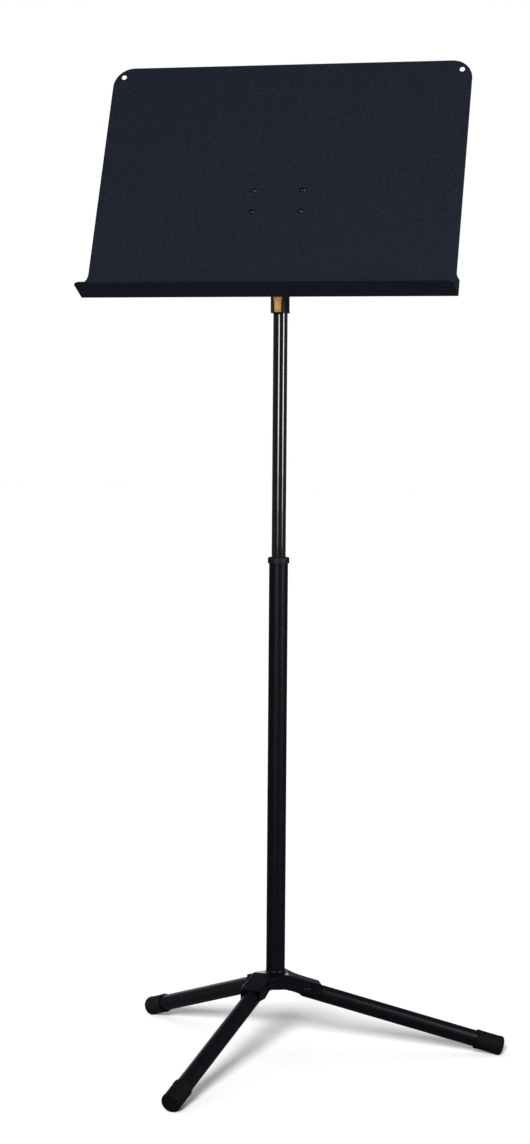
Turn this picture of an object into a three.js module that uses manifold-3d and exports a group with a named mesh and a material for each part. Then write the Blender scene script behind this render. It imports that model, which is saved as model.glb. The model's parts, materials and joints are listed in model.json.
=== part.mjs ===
// An orchestra music stand: a one-sheet steel desk on a tilt hinge, a telescopic mast that is locked by
// a squeeze lever under the desk, and three tube legs that fold down from a pressed steel hub.
// Millimetres, +Z up, floor at z = 0, the reader's side at -Y. The origin is the middle of the
// footprint's bounding box, so the mast stands a little off it.

import * as THREE from 'three';
import { mergeVertices } from 'three/addons/utils/BufferGeometryUtils.js';
import Module from 'manifold-3d';

const wasm = await Module();
wasm.setup();

// ---------------------------------------------------------------- driving dimensions

const POLE = { x: -24.6, y: 45.6 };
const GAP = 0.3; // kept between pieces that touch
const SIDES = 24; // facets round a tube
const FEW_SIDES = 12; // facets round a small fitting
const SPRING_STEPS = 9; // steps in one turn of the spring

const LOWER_TUBE = { radius: 12.7, bore: 11.1, bottom: 101, top: 673 };
const UPPER_TUBE = { radius: 9.525, bore: 8.325, bottom: 466, top: 1099.8 };
const COLLAR = { radius: 14.5, bottom: 670.6, top: 679.3, bore: 9.95, bushBottom: 641.7 };
const TUBE_PLUG = { flange: 3.2, depth: 7 };

const LEG_SLOPE = THREE.MathUtils.degToRad(17.4);
const LEG = { radius: 11.1, bore: 9.6, axisHeight: 108.9, slope: LEG_SLOPE, end: 322 };
const LEG_AZIMUTHS = { front: -99.9, right: 20.1, left: 140.1 };
const LEG_OFFSET = -10.85; // every leg runs past the mast's centre line on the same side, like a pinwheel
const PIVOT = { reach: 40, pinRadius: 2.5, headRadius: 5, headHeight: 1.8 };
const FOOT = { radius: 13.5, length: 38, endWall: 4, endRound: 4.5, mouthRound: 1.2 };

const HUB = { top: 118, bottom: 90, sheet: 2, armWidth: 29, fillet: 5, endReach: 60 };
const WEB_FILLET = 24; // the top sheet fills the corners between the arms further than the cheeks do
const HUB_BELLY = { height: 98.3, radius: 27, footRadius: 44 }; // the skirt is cut higher round the middle

const ROD = { radius: 2.5, bottom: 424, top: 1009, capRadius: 5, capHeight: 4.5 };
const ROD_GUIDE = { bottom: 976, top: 984 };
const SLEEVE = { bottom: 436, top: 459.7, radius: 10.6, bore: 8.1, endBore: 3.5, slit: 1.5 };
const CONE = { bottom: 429.6, shoulder: 432.5, top: 452, radius: 8.4, tip: 4 };
const GUIDE = { bottom: 460, flange: 5.7, flangeRadius: 10.7, spigotRadius: 8, spigotTop: 486 };
const SPRING = { meanRadius: 5.2, wire: 0.7, turns: 7, bottom: 486.6, top: 519.6 };

const HOUSING = { radius: 12, bottom: 1004.4, top: 1061.5, blockHalf: 9.5, blockFront: 18, bore: 9.85 };
const TRIGGER = {
  pivotY: -13.5, pivotZ: 1007.8, hubRadius: 3.4, halfWidth: 4.9, pinRadius: 1.2, pinHalf: 9.3,
};
const ROD_SLOT_HALF = 3.2; // the slot the lever's nose reaches through

const HINGE = {
  height: 1140.2, barrelRadius: 11, barrelHalf: 12, boltRadius: 4, earInner: 14.8, earOuter: 17.3,
};
const TILT_NUT = { acrossFlats: 13, washerRadius: 8.5, washer: 1.5, height: 7.7, threadPast: 10.5 };
const DESK_TILT = THREE.MathUtils.degToRad(23.3); // how far the desk leans back from upright
const DESK = {
  standoff: 27.7, sheet: 1.2, halfWidth: 246.9, topRound: 28, above: 206.4, shelfBelow: 140.1,
};
const SHELF = { halfWidth: 251.4, depth: 46.3, cornerRound: 10, bend: 2, sideFlare: 24, flareRound: 16 };
const BRACKET = { halfWidth: 45, halfHeight: 27, cornerRound: 8, sheet: 2.5, earHalf: 22, earRound: 12.5 };
const CORNER_HOLE = { radius: 3.5, side: 232.7, below: 13.8 };
const SCREW = {
  side: 32.9, rise: 15.8, radius: 2, headRadius: 3.7, headHeight: 2, clearance: 2.35, end: 16.4,
};
const SCREW_NUT = { acrossFlats: 7, height: 3.2 };

// ---------------------------------------------------------------- materials

const finish = (color, roughness, metalness) => (
  new THREE.MeshStandardMaterial({ color, roughness, metalness })
);
const texturedPaint = finish(0x212736, 0.75, 0.0);
const satinPaint = finish(0x101218, 0.4, 0.0);
const glossPaint = finish(0x07080c, 0.12, 0.0);
const blackPlastic = finish(0x141416, 0.5, 0.0);
const amberPlastic = finish(0xd0953f, 0.35, 0.0);
const blackRubber = finish(0x0e0e10, 0.85, 0.0);
const whiteNylon = finish(0xd8d6cc, 0.6, 0.0);
const zincSteel = finish(0x9fa3a8, 0.35, 1.0);

// ---------------------------------------------------------------- solids: helpers

/** A manifold solid from a closed three.js geometry. */
function solid(geometry) {
  const bare = geometry.clone();
  bare.deleteAttribute('normal');
  bare.deleteAttribute('uv');
  const merged = mergeVertices(bare, 1e-4);
  const corners = Array.from(merged.index.array);
  const kept = [];
  for (let i = 0; i < corners.length; i += 3) {
    const [a, b, c] = corners.slice(i, i + 3);
    if (a !== b && b !== c && c !== a) kept.push(a, b, c);
  }
  const vertProperties = new Float32Array(merged.attributes.position.array);
  return new wasm.Manifold(new wasm.Mesh({ numProp: 3, vertProperties, triVerts: new Uint32Array(kept) }));
}

/** A three.js geometry from a manifold solid. */
function geometryOf(body) {
  const { vertProperties, triVerts } = body.getMesh();
  const geometry = new THREE.BufferGeometry();
  geometry.setAttribute('position', new THREE.BufferAttribute(new Float32Array(vertProperties), 3));
  geometry.setIndex(new THREE.BufferAttribute(new Uint32Array(triVerts), 1));
  geometry.computeVertexNormals();
  return geometry;
}

/** A solid of revolution about Z from [radius, height] corners listed anticlockwise. */
function turned(corners, sides = SIDES) {
  const profile = corners.map(([radius, height]) => new THREE.Vector2(radius, height));
  if (corners[0][0] !== 0) profile.push(profile[0].clone());
  return new THREE.LatheGeometry(profile, sides).rotateX(Math.PI / 2);
}

/** A plain ring or, with no bore, a rod, about Z. */
function ring(radius, bore, bottom, top, sides = SIDES) {
  return turned([[bore, bottom], [radius, bottom], [radius, top], [bore, top]], sides);
}

/** A rod along X, Y or Z between two places on that axis. */
function rod(axis, radius, from, to, sides = FEW_SIDES) {
  const geometry = ring(radius, 0, from, to, sides);
  if (axis === 'x') geometry.rotateY(Math.PI / 2);
  if (axis === 'y') geometry.rotateX(-Math.PI / 2);
  return geometry;
}

/** A shape in the XY plane, extruded along Z from one height to another. */
function plate(shape, from, to) {
  const settings = { depth: to - from, bevelEnabled: false, curveSegments: 6 };
  return new THREE.ExtrudeGeometry(shape, settings).translate(0, 0, from);
}

/** A shape whose x is Y and whose y is Z, extruded along X from one place to another. */
function sideCut(shape, from, to) {
  return plate(shape, from, to).rotateX(Math.PI / 2).rotateZ(Math.PI / 2);
}

/** A shape whose x is X and whose y is Z, extruded along Y from one place to another. */
function frontCut(shape, from, to) {
  return plate(shape, -to, -from).rotateX(Math.PI / 2);
}

/** A box between two corners. */
function block([x0, y0, z0], [x1, y1, z1]) {
  const box = new THREE.BoxGeometry(x1 - x0, y1 - y0, z1 - z0);
  return box.translate((x0 + x1) / 2, (y0 + y1) / 2, (z0 + z1) / 2);
}

/** A straight-sided shape from corner points. */
const polygon = (points) => new THREE.Shape(points.map(([x, y]) => new THREE.Vector2(x, y)));

/** A rectangle about the origin with rounded corners. */
function roundedRectangle(halfWidth, halfHeight, radius) {
  const shape = new THREE.Shape();
  const [w, h, r] = [halfWidth, halfHeight, radius];
  shape.moveTo(w - r, -h);
  shape.absarc(w - r, r - h, r, -Math.PI / 2, 0);
  shape.absarc(w - r, h - r, r, 0, Math.PI / 2);
  shape.absarc(r - w, h - r, r, Math.PI / 2, Math.PI);
  shape.absarc(r - w, r - h, r, Math.PI, Math.PI * 1.5);
  return shape;
}

/** A hexagonal nut about Z, bored for a thread. */
function hexNut(acrossFlats, bore, bottom, top) {
  const corner = acrossFlats / Math.sqrt(3);
  const blank = solid(ring(corner, 0, bottom, top, 6));
  return blank.subtract(solid(ring(bore, 0, bottom - 1, top + 1, FEW_SIDES)));
}

/** A named mesh, put into a group. */
function add(group, name, shape, material) {
  const geometry = shape.isBufferGeometry ? shape : geometryOf(shape);
  const mesh = new THREE.Mesh(geometry, material);
  mesh.name = name;
  group.add(mesh);
}

// ---------------------------------------------------------------- base: hub and lower tube

const armHalf = HUB.armWidth / 2;
const legHeightAt = (reach) => LEG.axisHeight - reach * Math.tan(LEG.slope);

/** The hub's outline from above: three offset arms with hollow corners between them. */
function hubOutline(inset, cornerRound) {
  const rightEdge = LEG_OFFSET - armHalf + inset;
  const leftEdge = LEG_OFFSET + armHalf - inset;
  const fillet = cornerRound + inset;
  const reach = 90;
  // A hollow corner's centre, seen from the arm before it, is a fillet's radius clear of that arm's
  // left edge and of the next arm's right edge.
  const across = leftEdge + fillet;
  const along = (fillet - rightEdge - across / 2) / Math.sin(Math.PI / 3);
  const outline = new THREE.Shape();
  for (const azimuth of Object.values(LEG_AZIMUTHS)) {
    const arm = THREE.MathUtils.degToRad(azimuth);
    const seen = (x, y) => new THREE.Vector2(x, y).rotateAround(new THREE.Vector2(), arm);
    const right = seen(reach, rightEdge);
    const left = seen(reach, leftEdge);
    const centre = seen(along, across);
    if (azimuth === LEG_AZIMUTHS.front) outline.moveTo(right.x, right.y);
    else outline.lineTo(right.x, right.y);
    outline.lineTo(left.x, left.y);
    outline.absarc(centre.x, centre.y, fillet, arm - Math.PI / 2, arm - (Math.PI * 5) / 6, true);
  }
  return outline;
}

/** The space under one arm's sloping top, out to its plumb end. */
function armEnvelope(azimuth, drop) {
  const top = HUB.top - drop;
  const aboveAxis = (LEG.radius + GAP + HUB.sheet - drop) / Math.cos(LEG.slope);
  const crestReach = (LEG.axisHeight + aboveAxis - top) / Math.tan(LEG.slope);
  const endTop = legHeightAt(HUB.endReach) + aboveAxis;
  const side = polygon([
    [-80, HUB.bottom - 5],
    [HUB.endReach, HUB.bottom - 5],
    [HUB.endReach, endTop],
    [crestReach, top],
    [-80, top],
  ]);
  return solid(frontCut(side, -80, 80).rotateZ(THREE.MathUtils.degToRad(azimuth)));
}

/** An outline raised as high as the hub's top, or as the space a drop below it. */
function underTop(outline, bottom, drop) {
  let form = solid(plate(outline, bottom, HUB.top + 1));
  for (const azimuth of Object.values(LEG_AZIMUTHS)) form = form.intersect(armEnvelope(azimuth, drop));
  return form;
}

function hubSpider() {
  const { bottom, sheet, fillet } = HUB;
  const channels = underTop(hubOutline(0, fillet), bottom, 0)
    .subtract(underTop(hubOutline(sheet, fillet), bottom - 3, sheet));
  const topSheet = underTop(hubOutline(0, WEB_FILLET), bottom, 0)
    .subtract(underTop(hubOutline(-1, WEB_FILLET), bottom - 3, sheet));
  let hub = channels.add(topSheet);
  const { height, radius, footRadius } = HUB_BELLY;
  hub = hub.subtract(solid(turned([
    [0, bottom - 5], [footRadius, bottom - 5], [footRadius, bottom], [radius, height], [0, height],
  ])));
  hub = hub.subtract(solid(rod('z', LOWER_TUBE.radius + GAP, 80, 120, SIDES)));
  for (const azimuth of Object.values(LEG_AZIMUTHS)) {
    const turn = THREE.MathUtils.degToRad(azimuth);
    const mouthHalf = armHalf - sheet;
    const mouthTop = legHeightAt(HUB.endReach) + LEG.radius / Math.cos(LEG.slope);
    const endMouth = block([HUB.endReach - 12, LEG_OFFSET - mouthHalf, 60],
      [HUB.endReach + 5, LEG_OFFSET + mouthHalf, mouthTop]);
    const pinHole = rod('y', PIVOT.pinRadius + GAP, -armHalf - 2, armHalf + 2);
    pinHole.translate(PIVOT.reach, LEG_OFFSET, legHeightAt(PIVOT.reach));
    hub = hub.subtract(solid(endMouth.rotateZ(turn))).subtract(solid(pinHole.rotateZ(turn)));
  }
  return hub;
}

function collarProfile() {
  const { radius, bottom, top, bore, bushBottom } = COLLAR;
  const skirtBore = LOWER_TUBE.radius + GAP;
  const bushRadius = LOWER_TUBE.bore - 0.35;
  const shoulder = LOWER_TUBE.top + GAP;
  return [
    [bore, bushBottom], [bushRadius, bushBottom], [bushRadius, shoulder], [skirtBore, shoulder],
    [skirtBore, bottom], [radius - 0.4, bottom], [radius, bottom + 0.6], [radius, top - 2.6],
    [radius - 0.5, top - 1.3], [radius - 1.6, top - 0.35], [radius - 2.8, top], [bore, top],
  ];
}

function addBase(stand) {
  add(stand, 'hub_spider', hubSpider(), satinPaint);
  const { radius, bore, bottom, top } = LOWER_TUBE;
  const { flange, depth } = TUBE_PLUG;
  add(stand, 'lower_tube', ring(radius, bore, bottom, top), satinPaint);
  add(stand, 'tube_plug', turned([
    [0, bottom - flange], [radius - 0.6, bottom - flange], [radius - 0.6, bottom - GAP],
    [bore - GAP, bottom - GAP], [bore - GAP, bottom + depth], [0, bottom + depth],
  ]), blackPlastic);
  add(stand, 'height_collar', turned(collarProfile()), blackPlastic);
}

// ---------------------------------------------------------------- legs

/** The leg's tube along +X from its pivot, its inner end cut round so that it can turn. */
function legTube() {
  const outboard = LEG.end - PIVOT.reach / Math.cos(LEG.slope);
  const blank = solid(ring(LEG.radius, LEG.bore, -20, outboard).rotateY(Math.PI / 2));
  const nose = new THREE.Shape();
  const round = LEG.radius - 0.05;
  nose.moveTo(outboard + 5, -round - 2);
  nose.lineTo(outboard + 5, round + 2);
  nose.lineTo(0, round + 2);
  nose.absarc(0, 0, round, Math.PI / 2, Math.PI * 1.5);
  nose.lineTo(0, -round - 2);
  const crossHole = rod('y', PIVOT.pinRadius + 1.8, -20, 20);
  return blank.intersect(solid(frontCut(nose, -20, 20))).subtract(solid(crossHole));
}

/** The rubber foot on the tube's end, with the small flat that it stands on. */
function footCap() {
  const { radius, length, endWall, endRound, mouthRound } = FOOT;
  const pivotAlong = PIVOT.reach / Math.cos(LEG.slope);
  const wallStart = LEG.end - pivotAlong + GAP;
  const end = wallStart + endWall;
  const start = end - length;
  const bore = LEG.radius + 0.25;
  const corners = [[0, wallStart], [bore, wallStart], [bore, start], [radius - mouthRound, start]];
  corners.push([radius - 0.3, start + 0.4], [radius, start + mouthRound]);
  for (let step = 0; step <= 3; step += 1) {
    const angle = (step / 3) * (Math.PI / 2);
    const [out, along] = [endRound * Math.cos(angle), endRound * Math.sin(angle)];
    corners.push([radius - endRound + out, end - endRound + along]);
  }
  corners.push([0, end]);
  const cap = solid(turned(corners, 20).rotateY(Math.PI / 2));
  const floor = block([-400, -60, -100], [400, 60, 0]).translate(0, 0, -legHeightAt(PIVOT.reach));
  return cap.subtract(solid(floor.rotateY(-LEG.slope)));
}

/** A rivet across the arm, its domed head on the outer cheek and its other end flush with the inner one. */
function pivotPin() {
  const { pinRadius, headRadius, headHeight } = PIVOT;
  const seat = armHalf + GAP;
  return turned([
    [0, -armHalf], [pinRadius, -armHalf], [pinRadius, seat], [headRadius, seat],
    [headRadius, seat + headHeight * 0.4], [headRadius * 0.6, seat + headHeight], [0, seat + headHeight],
  ], 16).rotateX(Math.PI / 2);
}

function addLeg(stand, side) {
  const leg = new THREE.Group();
  leg.rotation.z = THREE.MathUtils.degToRad(LEG_AZIMUTHS[side]);
  stand.add(leg);
  const hinge = new THREE.Group();
  hinge.position.set(PIVOT.reach, LEG_OFFSET, legHeightAt(PIVOT.reach));
  hinge.rotation.y = LEG.slope;
  leg.add(hinge);
  add(hinge, `leg_tube_${side}`, legTube(), satinPaint);
  add(hinge, `foot_cap_${side}`, footCap(), blackRubber);
  add(hinge, `leg_pin_${side}`, pivotPin(), satinPaint);
  const bushHalf = armHalf - HUB.sheet - 0.3;
  const bush = ring(PIVOT.pinRadius + 1.5, PIVOT.pinRadius + 0.25, -bushHalf, bushHalf, FEW_SIDES);
  add(hinge, `leg_bush_${side}`, bush.rotateX(Math.PI / 2), whiteNylon);
}

// ---------------------------------------------------------------- mast: upper tube and clutch

function upperTube() {
  const tube = solid(ring(UPPER_TUBE.radius, UPPER_TUBE.bore, UPPER_TUBE.bottom, UPPER_TUBE.top));
  const slot = block([-ROD_SLOT_HALF, -12, ROD.top - 3], [ROD_SLOT_HALF, 0, TRIGGER.pivotZ + 7]);
  return tube.subtract(solid(slot));
}

/** The split sleeve that the cone spreads against the lower tube's bore. */
function expanderSleeve() {
  const { bottom, top, radius, bore, endBore, slit } = SLEEVE;
  const sleeve = solid(turned([[bore, bottom], [radius, bottom], [radius, top], [endBore, top]]));
  return sleeve.subtract(solid(block([-slit / 2, 0, bottom - 5], [slit / 2, 20, top + 5])));
}

/** A coil of round wire as one solid, from a helix in equal steps. */
function clutchSpring() {
  const { meanRadius, wire, turns, bottom, top } = SPRING;
  const points = [];
  const steps = turns * SPRING_STEPS;
  for (let step = 0; step <= steps; step += 1) {
    const angle = (step / SPRING_STEPS) * Math.PI * 2;
    const height = bottom + wire + (step / steps) * (top - bottom - 2 * wire);
    points.push(new THREE.Vector3(meanRadius * Math.cos(angle), meanRadius * Math.sin(angle), height));
  }
  const section = new THREE.Shape().absarc(0, 0, wire, 0, Math.PI * 2);
  const path = new THREE.CatmullRomCurve3(points);
  const sweep = { steps, extrudePath: path, curveSegments: 2, bevelEnabled: false };
  return new THREE.ExtrudeGeometry(section, sweep);
}

/** The lever seen from the front, wider towards its finger pad, with an even margin round it. */
function leverFace(margin) {
  const half = TRIGGER.halfWidth + margin;
  const z = TRIGGER.pivotZ;
  const right = [[half, z - 12], [half, z + 10], [7 + margin, z + 22], [8.2 + margin, z + 46]];
  right.push([6.6 + margin, z + 54 + margin]);
  const left = right.map(([across, height]) => [-across, height]).reverse();
  return polygon([...right, ...left]);
}

function clutchHousing() {
  const { radius, bottom, top, blockHalf, blockFront, bore } = HOUSING;
  const { pivotY, pivotZ, halfWidth, pinRadius } = TRIGGER;
  let housing = solid(turned([
    [0, bottom], [radius + 0.5, bottom], [radius + 0.5, bottom + 1.5], [radius, bottom + 4],
    [radius, top - 18], [radius - 0.6, top - 2], [radius - 1.6, top], [0, top],
  ]));
  const cheeks = polygon([
    [0, bottom], [-blockFront, bottom], [-blockFront, bottom + 22],
    [-radius + 1.5, bottom + 42], [0, bottom + 42],
  ]);
  housing = housing.add(solid(sideCut(cheeks, -blockHalf, blockHalf)));
  housing = housing.add(solid(rod('x', 5, -6.5, 6.5, 24).translate(0, pivotY, pivotZ)));
  const slotHalf = halfWidth + 0.5;
  const slot = solid(frontCut(leverFace(0.5), -40, -12.4));
  const slotFloor = solid(block([-20, -50, bottom - 20], [20, 0, pivotZ - 2.5]));
  housing = housing.subtract(slot.subtract(slotFloor));
  housing = housing.subtract(solid(rod('x', 3.9, -slotHalf, slotHalf, 24).translate(0, pivotY, pivotZ)));
  const noseSlot = block([-ROD_SLOT_HALF, -14, ROD.top - 3], [ROD_SLOT_HALF, -5, pivotZ + 7]);
  housing = housing.subtract(solid(noseSlot));
  housing = housing.subtract(solid(rod('x', pinRadius + GAP, -12, 12, 16).translate(0, pivotY, pivotZ)));
  return housing.subtract(solid(rod('z', bore, bottom - 5, top + 5, SIDES)));
}

/** The squeeze lever: a blade up the housing's front, and a nose that reaches in to push the rod down. */
function triggerLever() {
  const { pivotY, pivotZ, hubRadius, halfWidth, pinRadius } = TRIGGER;
  const z = pivotZ;
  const side = polygon([
    [-15.2, z + 2.2], [-16.2, z + 21.7], [-20.6, z + 42.7], [-22.8, z + 50.2], [-26.2, z + 51.3],
    [-26.6, z + 49.2], [-24.4, z + 40.7], [-20, z + 21.7], [-18.9, z + 3.7], [-18, z - 1.1],
    [-17.2, z - 1.6], [pivotY, z - 1.6],
  ]);
  const blade = solid(sideCut(side, -12, 12)).intersect(solid(frontCut(leverFace(0), -40, 0)));
  const hub = solid(rod('x', hubRadius, -halfWidth, halfWidth, 24).translate(0, pivotY, pivotZ));
  const nose = solid(block([-2.5, pivotY - 2.5, pivotZ + 2], [2.5, -0.5, pivotZ + 5.6]));
  const tip = solid(rod('x', 2, -2.5, 2.5, 16).translate(0, -0.5, pivotZ + 3.5));
  const hole = solid(rod('x', pinRadius + GAP, -12, 12, 16).translate(0, pivotY, pivotZ));
  return blade.add(hub).add(nose).add(tip).subtract(hole);
}

/** The hinge block in the mast's top: a spigot, a neck and a barrel across. */
function tiltKnuckle() {
  const { height, barrelRadius, barrelHalf, boltRadius } = HINGE;
  const seat = UPPER_TUBE.top + GAP;
  const stem = solid(turned([
    [0, seat - 34], [8, seat - 34], [8, seat], [9.5, seat], [9.5, seat + 3], [8.6, seat + 12],
    [8.6, height], [0, height],
  ]));
  const barrel = solid(rod('x', barrelRadius, -barrelHalf, barrelHalf, SIDES).translate(0, 0, height));
  const bore = solid(rod('x', boltRadius + GAP, -20, 20, 24).translate(0, 0, height));
  return stem.add(barrel).subtract(bore);
}

function addMast(stand) {
  add(stand, 'upper_tube', upperTube(), glossPaint);
  const { bottom, flange, flangeRadius, spigotRadius, spigotTop } = GUIDE;
  const rodBore = ROD.radius + 0.4;
  add(stand, 'mast_guide', turned([
    [rodBore, bottom], [flangeRadius, bottom], [flangeRadius, bottom + flange],
    [spigotRadius, bottom + flange], [spigotRadius, spigotTop], [rodBore, spigotTop],
  ]), whiteNylon);
  add(stand, 'expander_sleeve', expanderSleeve(), whiteNylon);
  const threadBore = ROD.radius + GAP;
  add(stand, 'expander_cone', turned([
    [threadBore, CONE.bottom], [CONE.radius, CONE.bottom], [CONE.radius, CONE.shoulder],
    [CONE.tip, CONE.top], [threadBore, CONE.top],
  ], FEW_SIDES), zincSteel);
  add(stand, 'cone_nut', hexNut(8, threadBore, ROD.bottom + 1, CONE.bottom - GAP), zincSteel);
  add(stand, 'pull_rod', turned([
    [0, ROD.bottom], [ROD.radius, ROD.bottom], [ROD.radius, ROD.top - ROD.capHeight],
    [ROD.capRadius, ROD.top - ROD.capHeight], [ROD.capRadius, ROD.top], [0, ROD.top],
  ], 16), zincSteel);
  add(stand, 'rod_stop', ring(6.6, threadBore, SPRING.top + GAP, SPRING.top + 6, FEW_SIDES), zincSteel);
  const rodGuide = ring(UPPER_TUBE.bore - GAP, rodBore, ROD_GUIDE.bottom, ROD_GUIDE.top);
  add(stand, 'rod_guide', rodGuide, whiteNylon);
  add(stand, 'clutch_spring', clutchSpring(), zincSteel);
  add(stand, 'clutch_housing', clutchHousing(), blackPlastic);
  add(stand, 'trigger_lever', triggerLever(), amberPlastic);
  const pin = rod('x', TRIGGER.pinRadius, -TRIGGER.pinHalf, TRIGGER.pinHalf, 16);
  add(stand, 'trigger_pin', pin.translate(0, TRIGGER.pivotY, TRIGGER.pivotZ), zincSteel);
  add(stand, 'tilt_knuckle', tiltKnuckle(), satinPaint);
  for (const [name, side] of [['left', -1], ['right', 1]]) {
    const middle = side * (HINGE.barrelHalf + HINGE.earInner) / 2;
    const half = (HINGE.earInner - HINGE.barrelHalf) / 2 - GAP;
    const washer = ring(HINGE.barrelRadius, HINGE.boltRadius + GAP, -half, half, 28).rotateY(Math.PI / 2);
    add(stand, `friction_washer_${name}`, washer.translate(middle, 0, HINGE.height), whiteNylon);
  }
}

// ------------------------------------------ desk (X across, Y up the desk, Z out of its face)

/** The panel's outline: round top corners, and sides that flare into the wider shelf at the fold. */
function panelOutline() {
  const { halfWidth, topRound, above, shelfBelow } = DESK;
  const fold = -shelfBelow - DESK.sheet;
  const flareTop = fold + SHELF.sideFlare;
  const widening = SHELF.halfWidth - halfWidth;
  const turn = Math.acos(1 - widening / SHELF.flareRound);
  const flareHeight = SHELF.flareRound * Math.sin(turn);
  const centreX = halfWidth + SHELF.flareRound;
  const outline = new THREE.Shape();
  outline.moveTo(-SHELF.halfWidth, fold - 1);
  outline.lineTo(SHELF.halfWidth, fold - 1);
  outline.absarc(centreX, flareTop + flareHeight, SHELF.flareRound, Math.PI + turn, Math.PI, true);
  outline.absarc(halfWidth - topRound, above - topRound, topRound, 0, Math.PI / 2);
  outline.absarc(topRound - halfWidth, above - topRound, topRound, Math.PI / 2, Math.PI);
  outline.absarc(-centreX, flareTop + flareHeight, SHELF.flareRound, 0, -turn, true);
  return outline;
}

/** The L of the bent sheet seen from its end: x is out of the desk's face, y is up the desk. */
function sheetProfile() {
  const { standoff, sheet, above, shelfBelow } = DESK;
  const { bend, depth } = SHELF;
  const [face, floor] = [standoff, -shelfBelow];
  const profile = new THREE.Shape();
  profile.moveTo(face, above + 1);
  profile.lineTo(face - sheet, above + 1);
  profile.absarc(face + bend, floor + bend, bend + sheet, Math.PI, Math.PI * 1.5);
  profile.lineTo(face + depth + 1, floor - sheet);
  profile.lineTo(face + depth + 1, floor);
  profile.absarc(face + bend, floor + bend, bend, Math.PI * 1.5, Math.PI, true);
  return profile;
}

function deskTray() {
  const { standoff, sheet, above, shelfBelow } = DESK;
  const { halfWidth, depth, cornerRound, bend } = SHELF;
  const bent = solid(plate(sheetProfile(), -300, 300).rotateY(-Math.PI / 2));
  const panel = solid(plate(panelOutline(), standoff - 5, standoff + bend));
  const behind = 20; // how far the shelf's blank runs back past the panel
  const shelfBlank = roundedRectangle(halfWidth, depth / 2 + behind, cornerRound);
  const shelf = frontCut(shelfBlank, -shelfBelow - 5, -shelfBelow + bend);
  let tray = bent.intersect(panel.add(solid(shelf.translate(0, 0, standoff + depth / 2 - behind))));
  const holes = [];
  for (const side of [-1, 1]) {
    holes.push([side * CORNER_HOLE.side, above - CORNER_HOLE.below, CORNER_HOLE.radius]);
    for (const rise of [-1, 1]) holes.push([side * SCREW.side, rise * SCREW.rise, SCREW.clearance]);
  }
  for (const [x, y, radius] of holes) {
    const hole = ring(radius, 0, standoff - sheet - 2, standoff + 2, FEW_SIDES).translate(x, y, 0);
    tray = tray.subtract(solid(hole));
  }
  return tray;
}

function deskBracket() {
  const { earInner, earOuter, boltRadius } = HINGE;
  const back = DESK.standoff - DESK.sheet - GAP;
  const { halfWidth, halfHeight, cornerRound, sheet, earHalf, earRound } = BRACKET;
  let bracket = solid(plate(roundedRectangle(halfWidth, halfHeight, cornerRound), back - sheet, back));
  const ear = new THREE.Shape();
  ear.moveTo(-earHalf, back - 1);
  ear.lineTo(-earHalf, back - 6);
  ear.absarc(0, 0, earRound, Math.PI, Math.PI * 2);
  ear.lineTo(earHalf, back - 6);
  ear.lineTo(earHalf, back - 1);
  for (const side of [-1, 1]) {
    const from = side < 0 ? -earOuter : earInner;
    bracket = bracket.add(solid(sideCut(ear, from, from + earOuter - earInner)));
    for (const rise of [-1, 1]) {
      const hole = ring(SCREW.clearance, 0, back - 5, back + 5, FEW_SIDES);
      bracket = bracket.subtract(solid(hole.translate(side * SCREW.side, rise * SCREW.rise, 0)));
    }
  }
  return bracket.subtract(solid(rod('x', boltRadius + GAP, -30, 30, 24)));
}

function deskScrew() {
  const { radius, headRadius, headHeight, end } = SCREW;
  const seat = DESK.standoff + GAP;
  return turned([
    [0, end], [radius, end], [radius, seat], [headRadius, seat],
    [headRadius * 0.9, seat + headHeight * 0.5],
    [headRadius * 0.5, seat + headHeight], [0, seat + headHeight],
  ], FEW_SIDES);
}

function addDesk(stand) {
  const desk = new THREE.Group();
  desk.position.set(0, 0, HINGE.height);
  desk.rotation.x = Math.PI / 2 - DESK_TILT;
  stand.add(desk);
  add(desk, 'desk_tray', deskTray(), texturedPaint);
  add(desk, 'desk_bracket', deskBracket(), satinPaint);
  const nutTop = DESK.standoff - DESK.sheet - GAP - BRACKET.sheet - GAP;
  const corners = [
    ['upper_left', -1, 1], ['upper_right', 1, 1], ['lower_left', -1, -1], ['lower_right', 1, -1],
  ];
  for (const [name, side, rise] of corners) {
    const place = [side * SCREW.side, rise * SCREW.rise, 0];
    add(desk, `desk_screw_${name}`, deskScrew().translate(...place), satinPaint);
    const { acrossFlats, height } = SCREW_NUT;
    const nut = geometryOf(hexNut(acrossFlats, SCREW.radius + GAP, nutTop - height, nutTop));
    add(desk, `desk_nut_${name}`, nut.translate(...place), zincSteel);
  }
  const { boltRadius, earOuter } = HINGE;
  const { acrossFlats, washerRadius, washer, height, threadPast } = TILT_NUT;
  const seat = earOuter + GAP;
  const bolt = turned([
    [0, -seat - 5], [6, -seat - 5], [7, -seat - 4], [7, -seat], [boltRadius, -seat],
    [boltRadius, seat + threadPast], [0, seat + threadPast],
  ]);
  add(desk, 'tilt_bolt', bolt.rotateY(Math.PI / 2), zincSteel);
  const bore = boltRadius + GAP;
  add(desk, 'tilt_washer', ring(washerRadius, bore, seat, seat + washer).rotateY(Math.PI / 2), zincSteel);
  const nutSeat = seat + washer + GAP;
  const nut = geometryOf(hexNut(acrossFlats, bore, nutSeat, nutSeat + height));
  add(desk, 'tilt_nut', nut.rotateY(Math.PI / 2), zincSteel);
}

// ---------------------------------------------------------------- the stand

const stand = new THREE.Group();
stand.position.set(POLE.x, POLE.y, 0);
addBase(stand);
for (const side of Object.keys(LEG_AZIMUTHS)) addLeg(stand, side);
addMast(stand);
addDesk(stand);

export default stand;
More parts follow.
